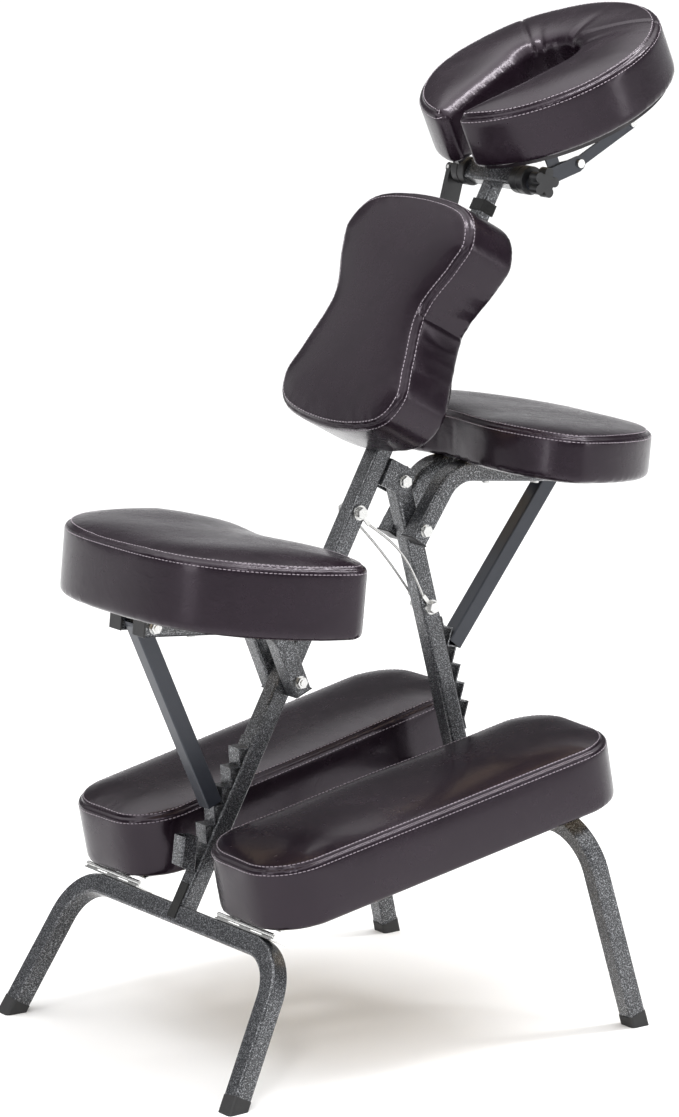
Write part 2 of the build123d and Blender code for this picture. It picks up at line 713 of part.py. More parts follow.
# Cam lever: a flat grip on a pin at the rod's far end.
lever_lean = 15.6
on_lever = Location(axis_spot, (0, lever_lean, 0))
cam_y = arm_out + 8.5
grip = block(-lever_width / 2, lever_width / 2, cam_y - 4, cam_y + 4, -lever_length, -7)
cheek = lever_width / 2 - 5
for side in (-1, 1):
    middle = side * (5 + cheek / 2)
    grip += Pos(middle, cam_y, 0) * Rot(0, 90, 0) * Cylinder(6, cheek)
    grip += Pos(middle, cam_y, -4) * Box(cheek, 8, 8)
grip -= Pos(0, cam_y, 0) * Rot(0, 90, 0) * Cylinder(2.5 + pivot_gap, 60)
keep("cam_lever", on_lever * grip)
cam_pin = Pos(0, cam_y, 0) * Rot(0, 90, 0) * Cylinder(2.5, lever_width + 3)
cam_pin -= rod(rod_r + 0.05, 0, 200)
keep("cam_pin", on_lever * cam_pin)
cam_washer = rod(8.0, arm_out + 0.3, arm_out + 2.2) - rod(rod_r + 0.1, 0, 200)
keep("clamp_rod", Location(axis_spot) * clamp_rod, Location(axis_spot) * cam_washer)

# Stem lock: a knob on a screw through the spine's front face.
lock_screw = Pos(stem / 2 + 0.5, 0, lock_up) * Rot(0, 90, 0) * extrude(Circle(bolt_r), 32)
lock_grip = Pos(half + 12, 0, lock_up) * Rot(0, 90, 0) * extrude(RegularPolygon(15, 6), 20)
lock_grip = fillet(lock_grip.edges().group_by(Axis.X)[-1], 2)
keep("stem_lock_knob", on_spine * (lock_screw + lock_grip))


# =================================================================== cables
def cable(start, finish, bow, y):
    """A wire rope between two bolts, with its crimped ends."""
    way = (finish - start).normalized()
    side = Vector(way.Z, 0, -way.X) * -1
    first = start + way * (8 + ferrule_length)
    span = (finish - start).length - 2 * (8 + ferrule_length)
    shape = [(0, 0), (0.22, 0.62), (0.48, 1.0), (0.76, 0.7), (1, 0)]
    points = [first + way * (span * t) + side * (bow * b) for t, b in shape]
    points = [Vector(p.X, y, p.Z) for p in points]
    radii = []
    for before, here, after in zip(points, points[1:], points[2:]):
        turn = (here - before).get_angle(after - here)
        short = min((here - before).length, (after - here).length)
        radii.append(0.45 * short / math.tan(math.radians(turn / 2)))
    path = FilletPolyline(*points, radius=radii)
    rope = sweep(Plane(origin=path @ 0, z_dir=path % 0) * Circle(cable_r), path=path)
    ends = []
    for bolt, inward, tip in ((start, points[1] - points[0], points[0]), (finish, points[-2] - points[-1], points[-1])):
        centre = Vector(bolt.X, y, bolt.Z)
        loop = rod(9.5, y - eye / 2, y + eye / 2, bolt.X, bolt.Z)
        toward = (tip - centre).normalized()
        sleeve = Plane(origin=centre + toward * 7, z_dir=toward) * Circle(cable_r + 1.4)
        sleeve = extrude(sleeve, (tip - centre).length - 7.6)
        loop += sleeve & block(-2000, 2000, y - eye / 2, y + eye / 2, 0, 2000)
        loop -= rod(bolt_r + hole_gap, y - 10, y + 10, bolt.X, bolt.Z)
        ends.append(loop)
    return rope, ends, radii


spine_cable_spot = spine_point(0, spine_cable_up)
post_cable_spot = post_point(0, post_cable_up)
eye_y = half + 0.2 + eye / 2
ends_on_spine = []
ends_on_post = []
for word, side, bow in (("right", -1, near_bow), ("left", 1, far_bow)):
    rope, ends, radii = cable(spine_cable_spot, post_cable_spot, bow, side * eye_y)
    keep("cable_" + word, rope)
    ends_on_spine.append(ends[0])
    ends_on_post.append(ends[1])
    print("cable", word, "radii", [round(r) for r in radii], "length", round(rope.volume / (math.pi * cable_r**2), 1))
keep("cable_ends_spine", *ends_on_spine)
keep("cable_ends_post", *ends_on_post)
cable_bolt_y = half + 0.4 + eye
spine_cable_bolt = on_spine * cross_bolt(0, spine_cable_up, -cable_bolt_y, cable_bolt_y)
post_cable_bolt = on_post * cross_bolt(0, post_cable_up, -cable_bolt_y, cable_bolt_y)
keep("spine_cross_bolts", spine_cable_bolt, on_spine * hinge_bolt, pivot_bolts["seat"])
keep("post_cross_bolts", post_cable_bolt, pivot_bolts["arm_rest"])

# =================================================================== export
os.makedirs("parts", exist_ok=True)
for name, shape in nodes.items():
    export_step(shape, "parts/" + name + ".step")
whole = Compound(children=[solid for shape in nodes.values() for solid in shape.solids()])
box = whole.bounding_box()
print(len(nodes), "nodes, box", box.min, box.max)
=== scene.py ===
import json
import math

import bpy
import numpy as np
from bpy.props import FloatProperty, FloatVectorProperty, IntProperty, PointerProperty
from bpy.types import Operator, Panel, PropertyGroup
from mathutils import Matrix, Vector
from mathutils.kdtree import KDTree
from mathutils.bvhtree import BVHTree
from mathutils.kdtree import KDTree


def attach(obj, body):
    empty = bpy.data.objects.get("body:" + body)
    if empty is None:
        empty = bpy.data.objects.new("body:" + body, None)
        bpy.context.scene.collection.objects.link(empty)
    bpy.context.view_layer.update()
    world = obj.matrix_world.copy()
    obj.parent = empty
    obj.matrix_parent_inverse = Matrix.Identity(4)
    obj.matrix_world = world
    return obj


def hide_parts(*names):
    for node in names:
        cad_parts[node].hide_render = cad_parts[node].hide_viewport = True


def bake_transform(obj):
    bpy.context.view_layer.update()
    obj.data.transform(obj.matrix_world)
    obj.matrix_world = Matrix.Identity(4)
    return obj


bl_info = {
    "name": "Kneeling massage chair",
    "version": (1, 0, 0),
    "blender": (4, 5, 0),
    "location": "3D View > Sidebar > Massage chair",
    "description": "Upholstery, cables, finishes and stage for a folding kneeling chair",
    "category": "Object",
}

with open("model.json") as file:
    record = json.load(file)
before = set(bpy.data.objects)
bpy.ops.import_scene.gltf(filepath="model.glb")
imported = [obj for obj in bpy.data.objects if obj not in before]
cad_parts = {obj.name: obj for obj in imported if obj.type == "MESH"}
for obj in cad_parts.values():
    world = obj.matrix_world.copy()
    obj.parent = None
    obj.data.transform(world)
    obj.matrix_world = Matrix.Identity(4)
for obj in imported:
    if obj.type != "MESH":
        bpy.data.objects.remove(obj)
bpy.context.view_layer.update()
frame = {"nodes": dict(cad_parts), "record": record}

SPINE_LEAN = math.radians(28.9)
SEAT_RISE = math.radians(5.8)
ARM_RISE = math.radians(-6.4)
KNEE_SLOPE = math.radians(10.764)
KNEE_TOE = math.radians(1.8)
CRADLE_TILT = math.radians(23.8)
BARE_EDGE = 0.375  # past this X the face ring's board shows
NEVER_BARE = 9.0

# widest line to the round side, to the hollow side, and the hollow's depth and width
ROUND_SIDE, HOLLOW_SIDE, HOLLOW, HOLLOW_WIDTH = 0.202, 0.063, 0.021, 0.075
KNEE_PAD = (0.541, 0.190, 0.070)  # length, width, corner radius
CHEST_LOW, CHEST_WAIST, CHEST_HIGH, CHEST_ENDS = 0.125, 0.096, 0.128, 0.160
MOUTH, FACE_HOLE, FACE_HOLE_AT = 0.011, 0.045, 0.008
PAD_INSET = 0.0015  # the filling swells the cover back to its size
PAD_RIM = 0.009
BROAD_RIM = 0.010
FOOT_RIM = 0.006
FOOT_HELD = 0.004  # height of the cover that the staples hold
SEAM_HOLD = 0.009
SEAM_WIDTH = 0.0024
JOIN_WIDTH = 0.0026
ROW_OFFSET = 0.0036
ROPE_RADIUS = 0.0015
CAMERA_AT = (-3.4099, -4.5894, 1.7689)
CAMERA_WAY = (0.5765, 0.7914, -0.2036)
CAMERA_LENS = 150.2
SKY_STRENGTH = 2.3


# ------------------------------------------------------------------ settings
class ChairLook(PropertyGroup):
    """Sizes and colours a user may change before making the pieces"""

    vinyl: FloatVectorProperty(
        name="Vinyl",
        description="Upholstery colour",
        subtype="COLOR",
        size=3,
        default=(0.0075, 0.0042, 0.0070),
    )
    # Stitching colour: the dark thread's own tone lightened, partly thread colour and partly a painted
    # highlight on the stitches.
    thread: FloatVectorProperty(
        name="Thread", description="Stitching colour", subtype="COLOR", size=3, default=(0.46, 0.40, 0.45)
    )
    paint: FloatVectorProperty(
        name="Frame paint", description="Dark part of the hammered paint", subtype="COLOR", size=3,
        default=(0.018, 0.019, 0.022),
    )
    fleck: FloatVectorProperty(
        name="Frame fleck", description="Bright part of the hammered paint", subtype="COLOR", size=3,
        default=(0.38, 0.39, 0.41),
    )
    voxel: FloatProperty(
        name="Pad mesh", description="Cell size of the pads' mesh",
        default=0.0045, unit="LENGTH"
    )
    swell: FloatProperty(
        name="Swell", description="Most that a pad's cover may rise",
        default=0.005, unit="LENGTH"
    )
    pressure: FloatProperty(name="Pressure", description="Filling pressure of the pads", default=4.0)
    stitch: FloatProperty(name="Stitch", description="Length of one stitch", default=0.0042, unit="LENGTH")
    gap: FloatProperty(name="Stitch gap", description="Space between stitches", default=0.0013, unit="LENGTH")
    thread_width: FloatProperty(
        name="Thread width", description="Thickness of a stitch",
        default=0.0014, unit="LENGTH"
    )
    seam_depth: FloatProperty(
        name="Seam depth", description="How far a seam sinks",
        default=0.0020, unit="LENGTH"
    )
    frames: IntProperty(name="Frames", description="Length of the filling simulation", default=20)


# ------------------------------------------------------------- shader helpers
class Value:
    """A socket that can be used in a sum."""

    def __init__(self, graph, socket):
        self.graph = graph
        self.socket = socket

    def maths(self, operation, other=None, flip=False):
        pair = (self, other) if not flip else (other, self)
        inputs = {i: v for i, v in enumerate(pair) if v is not None}
        return self.graph.add("ShaderNodeMath", {"operation": operation}, inputs)

    def __add__(self, other):
        return self.maths("ADD", other)

    def __radd__(self, other):
        return self.maths("ADD", other)

    def __sub__(self, other):
        return self.maths("SUBTRACT", other)

    def __rsub__(self, other):
        return self.maths("SUBTRACT", other, flip=True)

    def __mul__(self, other):
        return self.maths("MULTIPLY", other)

    def __rmul__(self, other):
        return self.maths("MULTIPLY", other)

    def __truediv__(self, other):
        return self.maths("DIVIDE", other)

    def __pow__(self, other):
        return self.maths("POWER", other)


class Graph:
    """Builds one material's nodes."""

    def __init__(self, name):
        self.material = bpy.data.materials.new(name)
        self.material.use_nodes = True
        self.tree = self.material.node_tree
        self.tree.nodes.clear()
        out = self.tree.nodes.new("ShaderNodeOutputMaterial")
        self.shader = self.tree.nodes.new("ShaderNodeBsdfPrincipled")
        self.tree.links.new(self.shader.outputs["BSDF"], out.inputs["Surface"])
        self.place = self.add("ShaderNodeTexCoord", output="Object")

    def add(self, kind, settings=None, inputs=None, output=0):
        node = self.tree.nodes.new(kind)
        for key, value in (settings or {}).items():
            if key == "stops":
                ramp = node.color_ramp
                while len(ramp.elements) > 1:
                    ramp.elements.remove(ramp.elements[-1])
                for index, (position, colour) in enumerate(value):
                    stop = ramp.elements[0] if index == 0 else ramp.elements.new(position)
                    stop.position = position
                    stop.color = colour
            else:
                setattr(node, key, value)
        for key, value in (inputs or {}).items():
            self.put(node.inputs[key], value)
        return Value(self, node.outputs[output])

    def put(self, socket, value):
        if isinstance(value, Value):
            self.tree.links.new(value.socket, socket)
        else:
            socket.default_value = value

    def surface(self, **values):
        for key, value in values.items():
            self.put(self.shader.inputs[key.replace("_", " ")], value)

    def noise(self, scale, detail=2.0, roughness=0.5, distortion=0.0, place=None):
        settings = {"Vector": place or self.place, "Scale": scale, "Detail": detail}
        settings.update({"Roughness": roughness, "Distortion": distortion})
        return self.add("ShaderNodeTexNoise", {}, settings)

    def cells(self, scale, feature="F1", place=None):
        settings = {"Vector": place or self.place, "Scale": scale}
        return self.add("ShaderNodeTexVoronoi", {"feature": feature}, settings)

    def span(self, value, low, high, to_low=0.0, to_high=1.0):
        inputs = {"Value": value, "From Min": low, "From Max": high, "To Min": to_low, "To Max": to_high}
        return self.add("ShaderNodeMapRange", {"clamp": True}, inputs)

    def blend(self, factor, first, second):
        inputs = {0: factor, 6: (*first, 1) if isinstance(first, tuple) else first}
        inputs[7] = (*second, 1) if isinstance(second, tuple) else second
        return self.add("ShaderNodeMix", {"data_type": "RGBA"}, inputs, output=2)

    def bump(self, height, strength, distance, below=None):
        inputs = {"Height": height, "Strength": strength, "Distance": distance}
        if below is not None:
            inputs["Normal"] = below
        return self.add("ShaderNodeBump", {}, inputs)


finishes = {}


def vinyl_finish():
    look = bpy.context.scene.chair
    g = Graph("upholstery_vinyl")
    colour = tuple(look.vinyl)
    worn = tuple(c * 1.6 + 0.001 for c in colour)
    smudge = g.noise(9.0, 4.0, 0.6, 0.6)
    fine = g.noise(55.0, 3.0, 0.6)
    grain = g.cells(620.0)
    creases = g.noise(34.0, 3.0, 0.55, 1.2)
    shade = g.span(smudge * 0.7 + fine * 0.3, 0.35, 0.68)
    g.surface(Base_Color=g.blend(shade, colour, worn))
    g.surface(Roughness=g.span(smudge * 0.55 + fine * 0.45, 0.3, 0.7, 0.19, 0.32))
    g.surface(Specular_IOR_Level=0.30, Specular_Tint=(1.0, 0.87, 1.0, 1))
    g.surface(Coat_Weight=0.14, Coat_Roughness=0.10, Coat_IOR=1.4)
    soft = g.bump(creases, 0.35, 0.0009)
    soft = g.bump(grain, 0.13, 0.0003, soft)
    g.surface(Normal=soft)
    return g.material


def thread_with_painted_highlight_finish():
    look = bpy.context.scene.chair
    g = Graph("sewing_thread_with_painted_highlight")
    twist = g.noise(2600.0, 2.0)
    # Base colour lighter than the dark thread really is: partly thread colour, partly painted highlight.
    colour = tuple(look.thread)
    g.surface(Base_Color=g.blend(twist, tuple(c * 0.6 for c in colour), colour))
    g.surface(Roughness=g.span(twist, 0.3, 0.7, 0.30, 0.45), Normal=g.bump(twist, 0.3, 0.0002))
    return g.material


def hammered_finish():
    look = bpy.context.scene.chair
    g = Graph("hammered_frame_paint")
    warp = g.noise(260.0, 2.0, 0.5)
    cell = g.cells(600.0, "SMOOTH_F1")
    fleck = g.noise(1050.0, 2.0, 0.6, 0.5)
    patch = g.noise(40.0, 2.0)
    bright = g.span(fleck * 0.8 + cell * 0.3, 0.54, 0.68) * g.span(patch, 0.25, 0.6, 0.7, 1.0)
    g.surface(Base_Color=g.blend(bright, tuple(look.paint), tuple(look.fleck)))
    g.surface(Metallic=g.span(bright, 0.0, 1.0, 0.35, 0.85))
    g.surface(Roughness=g.span(warp, 0.3, 0.7, 0.26, 0.42))
    g.surface(Coat_Weight=0.35, Coat_Roughness=0.12)
    rough = g.bump(cell * 0.8 + fleck * 0.4, 0.45, 0.0005)
    g.surface(Normal=rough)
    return g.material


def satin_paint_finish():
    g = Graph("satin_blue_black_paint")
    fine = g.noise(700.0, 2.0)
    broad = g.noise(18.0, 3.0, 0.6)
    g.surface(Base_Color=g.blend(broad, (0.016, 0.019, 0.027), (0.034, 0.038, 0.050)))
    g.surface(Metallic=0.35, Roughness=g.span(broad * 0.6 + fine * 0.4, 0.3, 0.7, 0.30, 0.42))
    g.surface(Normal=g.bump(fine, 0.12, 0.0003), Coat_Weight=0.2, Coat_Roughness=0.2)
    return g.material


def bright_steel_finish():
    g = Graph("nickel_plated_steel")
    fine = g.noise(1400.0, 3.0, 0.6)
    broad = g.noise(120.0, 3.0, 0.6)
    g.surface(Base_Color=g.blend(broad, (0.50, 0.50, 0.49), (0.74, 0.74, 0.73)))
    g.surface(Metallic=1.0, Roughness=g.span(fine * 0.5 + broad * 0.5, 0.3, 0.7, 0.18, 0.36))
    g.surface(Normal=g.bump(fine, 0.08, 0.0002))
    return g.material


def dark_steel_finish():
    g = Graph("blackened_steel")
    fine = g.noise(1100.0, 3.0, 0.6)
    broad = g.noise(90.0, 3.0, 0.6)
    g.surface(Base_Color=g.blend(broad, (0.015, 0.015, 0.017), (0.05, 0.05, 0.055)))
    g.surface(Metallic=0.8, Roughness=g.span(fine * 0.5 + broad * 0.5, 0.3, 0.7, 0.28, 0.45))
    g.surface(Normal=g.bump(fine, 0.1, 0.0002))
    return g.material


def plastic_finish():
    g = Graph("moulded_black_plastic")
    grain = g.cells(1500.0)
    broad = g.noise(60.0, 3.0, 0.6)
    g.surface(Base_Color=g.blend(broad, (0.008, 0.008, 0.009), (0.018, 0.018, 0.02)))
    g.surface(Roughness=g.span(broad, 0.3, 0.7, 0.34, 0.48), Normal=g.bump(grain, 0.2, 0.0002))
    return g.material


def rubber_finish():
    g = Graph("foot_rubber")
    grain = g.noise(900.0, 3.0, 0.6)
    dust = g.noise(30.0, 4.0, 0.65)
    g.surface(Base_Color=g.blend(dust, (0.010, 0.010, 0.011), (0.028, 0.027, 0.027)))
    g.surface(Roughness=g.span(dust, 0.3, 0.7, 0.55, 0.75), Normal=g.bump(grain, 0.25, 0.0003))
    return g.material


def plywood_finish():
    g = Graph("birch_plywood")
    stretch = g.add("ShaderNodeMapping", {}, {"Vector": g.place, "Scale": (1.0, 9.0, 1.0)})
    figure = g.noise(14.0, 5.0, 0.6, 0.8, stretch)
    pores = g.noise(420.0, 2.0, 0.5, 0.0, stretch)
    tone = g.blend(g.span(figure, 0.3, 0.7), (0.50, 0.36, 0.21), (0.68, 0.54, 0.36))
    g.surface(Base_Color=tone, Roughness=g.span(pores, 0.3, 0.7, 0.5, 0.68))
    g.surface(Normal=g.bump(figure * 0.5 + pores * 0.5, 0.25, 0.0004))
    return g.material


def wrapped_board_finish(name, slope, bare_from):
    """Plywood whose edge is wrapped in the pad's vinyl, bare past a place along X."""
    look = bpy.context.scene.chair
    g = Graph(name)
    facing = (-math.sin(slope), 0.0, math.cos(slope))
    normal = g.add("ShaderNodeTexCoord", output="Normal")
    dot = {"operation": "DOT_PRODUCT"}
    across = g.add("ShaderNodeVectorMath", dot, {0: normal, 1: facing}, output="Value")
    along = g.add("ShaderNodeSeparateXYZ", {}, {"Vector": g.place}, output="X")
    sideways = g.span(across.maths("ABSOLUTE"), 0.55, 0.75, 1.0, 0.0)
    edge = sideways * g.span(along, bare_from, bare_from + 0.004, 1.0, 0.0)
    figure = g.noise(60.0, 5.0, 0.6, 0.8)
    wood = g.blend(g.span(figure, 0.3, 0.7), (0.50, 0.38, 0.24), (0.70, 0.58, 0.42))
    g.surface(Base_Color=g.blend(edge, wood, tuple(look.vinyl)))
    g.surface(Roughness=g.span(edge * 0.6 + figure * 0.4, 0.2, 0.9, 0.6, 0.3))
    g.surface(Normal=g.bump(figure, 0.2, 0.0004))
    return g.material


def tape_finish():
    g = Graph("hook_tape")
    loops = g.cells(1100.0)
    broad = g.noise(80.0, 3.0)
    g.surface(Base_Color=g.blend(broad, (0.006, 0.006, 0.006), (0.016, 0.016, 0.016)))
    g.surface(Roughness=g.span(broad, 0.3, 0.7, 0.8, 0.95), Normal=g.bump(loops, 0.7, 0.0006))
    return g.material


FINISH_MAKERS = {
    "vinyl": vinyl_finish,
    "thread": thread_with_painted_highlight_finish,
    "frame_paint": hammered_finish,
    "strut_paint": satin_paint_finish,
    "bright_steel": bright_steel_finish,
    "dark_steel": dark_steel_finish,
    "plastic": plastic_finish,
    "rubber": rubber_finish,
    "plywood": plywood_finish,
    "tape": tape_finish,
}


def finish_named(name):
    if name not in finishes:
        finishes[name] = FINISH_MAKERS[name]()
    return finishes[name]


def give_finish(piece, name):
    piece.data.materials.clear()
    piece.data.materials.append(finish_named(name))


# --------------------------------------------------------------- mesh helpers
def only(piece):
    if bpy.context.mode != "OBJECT":
        bpy.ops.object.mode_set(mode="OBJECT")
    bpy.ops.object.select_all(action="DESELECT")
    piece.hide_set(False)
    piece.select_set(True)
    bpy.context.view_layer.objects.active = piece


def local_frame(node, angle, toe=0.0):
    """A pad's own axes: X along the pad, Z out of its board, and its box in them."""
    turn = Matrix.Rotation(-angle, 4, "Y") @ Matrix.Rotation(toe, 4, "Z")
    mesh = frame["nodes"][node].data
    points = np.empty(len(mesh.vertices) * 3)
    mesh.vertices.foreach_get("co", points)
    points = points.reshape(-1, 3) @ np.array(turn.to_3x3())
    low, high = points.min(0), points.max(0)
    return turn, low, high


def smooth_closed(points, count):
    """Even points along a smooth closed line through a few points."""
    fine = []
    total = len(points)
    for index in range(total):
        a, b, c, d = (Vector((*points[(index + k) % total], 0)) for k in (-1, 0, 1, 2))
        for step in range(24):
            t = step / 24
            spot = 2 * b + (c - a) * t + (2 * a - 5 * b + 4 * c - d) * t * t
            fine.append((spot + (3 * b - a - 3 * c + d) * t**3) * 0.5)
    return even_points(fine, count)


def even_points(points, count, closed=True):
    line = [Vector((p[0], p[1], 0)) for p in points]
    if closed:
        line.append(line[0])
    reach = [0.0]
    for a, b in zip(line, line[1:]):
        reach.append(reach[-1] + (b - a).length)
    result = []
    seek = 0
    for index in range(count):
        goal = reach[-1] * index / count
        while reach[seek + 1] < goal:
            seek += 1
        step = max(reach[seek + 1] - reach[seek], 1e-9)
        result.append(line[seek].lerp(line[seek + 1], (goal - reach[seek]) / step))
    return result


def inward(points):
    """Unit normals that point into a closed outline."""
    area = sum(a.x * b.y - b.x * a.y for a, b in zip(points, points[1:] + points[:1]))
    sign = 1 if area > 0 else -1
    count = len(points)
    result = []
    for index in range(count):
        way = points[(index + 1) % count] - points[index - 1]
        result.append(Vector((-way.y, way.x, 0)).normalized() * sign)
    return result


def shrunk(points, inset):
    return [p + n * inset for p, n in zip(points, inward(points))]


def kidney(far, near, half_width, dip, dip_width, count=180):
    points = []
    for step in range(720):
        angle = math.tau * step / 720
        across = half_width * math.sin(angle)
        swell = max(0.0, 1 - abs(math.sin(angle)) ** 2.81) ** 0.488
        if math.cos(angle) >= 0:
            along = far * swell
        else:
            along = -near * swell + dip * math.exp(-((across / dip_width) ** 2))
        points.append((along, across))
    return even_points(points, count)


def round_rectangle(length, width, corner, count=220):
    points = []
    for quarter in range(4):
        middle = Vector((length / 2 - corner, width / 2 - corner, 0))
        middle.x *= 1 if quarter in (0, 3) else -1
        middle.y *= 1 if quarter in (0, 1) else -1
        for step in range(24):
            angle = math.pi / 2 * (quarter + step / 23)
            points.append((middle.x + corner * math.cos(angle), middle.y + corner * math.sin(angle)))
    return even_points(points, count)


def hourglass(count=200):
    low, waist, high, ends = CHEST_LOW, CHEST_WAIST, CHEST_HIGH, CHEST_ENDS
    side = [
        (0, ends), (high * 0.72, ends * 0.93), (high, ends * 0.68), (high * 0.93, ends * 0.42),
        (waist, ends * 0.06), (low * 0.9, -ends * 0.36), (low, -ends * 0.66), (low * 0.76, -ends * 0.91),
        (0, -ends),
    ]
    points = side + [(-x, y) for x, y in reversed(side[1:-1])]
    return [Vector((p.y, -p.x, 0)) for p in smooth_closed(points, count)]


def horseshoe(radius, mouth, hole, hole_at, count=260):
    """Round outline with a pear-shaped opening that leaves at -X."""
    start = math.asin((mouth + 0.012) / radius)
    outer = []
    for step in range(160):
        angle = math.pi - start - (math.tau - 2 * start) * step / 159
        outer.append(Vector((radius * math.cos(angle), radius * math.sin(angle), 0)))
    inner = []
    for step in range(60):
        angle = -math.radians(100) + math.radians(200) * step / 59
        inner.append(Vector((hole_at + hole * math.cos(angle), hole * math.sin(angle), 0)))
    lip = Vector((-radius + 0.014, -mouth, 0))
    throat = [lip.lerp(inner[0], k / 12) for k in range(12)]
    back = [Vector((p.x, -p.y, 0)) for p in reversed(throat)]
    return even_points(outer + throat + inner + back, count)


def slab(name, outline, thick, rim, foot_rim):
    """A closed block from a flat outline, with rounded rims."""
    bpy.ops.object.select_all(action="DESELECT")
    bpy.ops.mesh.primitive_circle_add(vertices=len(outline), fill_type="NGON")
    piece = bpy.context.object
    piece.name = name
    for vertex, spot in zip(piece.data.vertices, outline):
        vertex.co = (spot.x, spot.y, 0)
    bpy.ops.object.mode_set(mode="EDIT")
    bpy.ops.mesh.select_all(action="SELECT")
    bpy.ops.mesh.extrude_region_move(TRANSFORM_OT_translate={"value": (0, 0, thick)})
    bpy.ops.object.mode_set(mode="OBJECT")
    for height, radius in ((thick, rim), (0.0, foot_rim)):
        for edge in piece.data.edges:
            ends = [piece.data.vertices[i].co.z for i in edge.vertices]
            edge.select = all(abs(z - height) < 1e-6 for z in ends)
        for face in piece.data.polygons:
            face.select = False
        bpy.ops.object.mode_set(mode="EDIT")
        bpy.ops.mesh.select_mode(type="EDGE")
        bpy.ops.mesh.bevel(offset=radius, segments=4, affect="EDGES")
        bpy.ops.object.mode_set(mode="OBJECT")
    bpy.ops.object.mode_set(mode="EDIT")
    bpy.ops.mesh.select_all(action="SELECT")
    bpy.ops.mesh.normals_make_consistent(inside=False)
    bpy.ops.object.mode_set(mode="OBJECT")
    return piece


def coordinates(piece):
    points = np.empty(len(piece.data.vertices) * 3)
    piece.data.vertices.foreach_get("co", points)
    return points.reshape(-1, 3)


def set_coordinates(piece, points):
    piece.data.vertices.foreach_set("co", np.ascontiguousarray(points).ravel())
    piece.data.update()


def remesh(piece, size):
    only(piece)
    change = piece.modifiers.new("even", "REMESH")
    change.mode = "VOXEL"
    change.voxel_size = size
    bpy.ops.object.modifier_apply(modifier=change.name)


def fill_pad(piece, firm, most, pressure, tension=25.0):
    """Blow the cover up by cloth simulation, and cap how far it moves."""
    look = bpy.context.scene.chair
    rest = coordinates(piece)
    group = piece.vertex_groups.new(name="held")
    for index, spot in enumerate(rest):
        weight = firm(spot)
        if weight > 0:
            group.add([index], weight, "REPLACE")
    only(piece)
    cloth = piece.modifiers.new("filling", "CLOTH")
    cloth.settings.quality = 6
    cloth.settings.mass = 0.35
    cloth.settings.tension_stiffness = tension
    cloth.settings.compression_stiffness = tension
    cloth.settings.shear_stiffness = tension * 0.6
    cloth.settings.bending_stiffness = 1.2
    cloth.settings.tension_damping = 12
    cloth.settings.compression_damping = 12
    cloth.settings.vertex_group_mass = "held"
    cloth.settings.pin_stiffness = 1.0
    cloth.settings.use_pressure = True
    cloth.settings.uniform_pressure_force = pressure
    cloth.settings.effector_weights.gravity = 0
    cloth.collision_settings.use_collision = False
    cloth.point_cache.frame_start = 1
    cloth.point_cache.frame_end = look.frames
    for number in range(1, look.frames + 1):
        bpy.context.scene.frame_set(number)
    bpy.ops.object.modifier_apply(modifier=cloth.name)
    bpy.context.scene.frame_set(1)
    moved = coordinates(piece) - rest
    far = np.linalg.norm(moved, axis=1)[:, None]
    keep = most * np.tanh(far / most) / np.maximum(far, 1e-9)
    set_coordinates(piece, rest + moved * keep)
    piece.vertex_groups.clear()


def refine(piece):
    only(piece)
    finer = piece.modifiers.new("finer", "SUBSURF")
    finer.levels = finer.render_levels = 1
    bpy.ops.object.modifier_apply(modifier=finer.name)


def sink_seam(piece, line, depth, width):
    """Press a narrow valley into a cover along a line of points."""
    tree = KDTree(len(line))
    for index, spot in enumerate(line):
        tree.insert(spot, index)
    tree.balance()
    points = coordinates(piece)
    normals = [v.normal.copy() for v in piece.data.vertices]
    for index, spot in enumerate(points):
        distance = tree.find(spot)[2]
        if distance < 4 * width:
            push = depth * math.exp(-((distance / width) ** 2))
            points[index] -= np.array(normals[index]) * push
    set_coordinates(piece, points)


def shape_tree(piece):
    depsgraph = bpy.context.evaluated_depsgraph_get()
    return BVHTree.FromObject(piece, depsgraph)


def line_on(tree, spots, way, back=0.1):
    """Drop points onto a surface along one direction for each."""
    landed = []
    for spot, direction in zip(spots, way):
        hit = tree.ray_cast(spot - direction * back, direction, back * 3)
        if hit[0] is not None:
            landed.append((hit[0], hit[1]))
    return landed


def stitch_row(rows, landed):
    """Note where each stitch of a row lies: place, direction and normal."""
    look = bpy.context.scene.chair
    step = look.stitch + look.gap
    length = 0.0
    goal = 0.0
    spots = landed + landed[:1]
    for (a, na), (b, nb) in zip(spots, spots[1:]):
        run = (b - a).length
        if run > 0.03 or run < 1e-7:
            length = goal
            continue
        while goal < length + run:
            t = (goal - length) / run
            rows.append((a.lerp(b, t), (b - a).normalized(), na.lerp(nb, t).normalized()))
            goal += step
        length += run


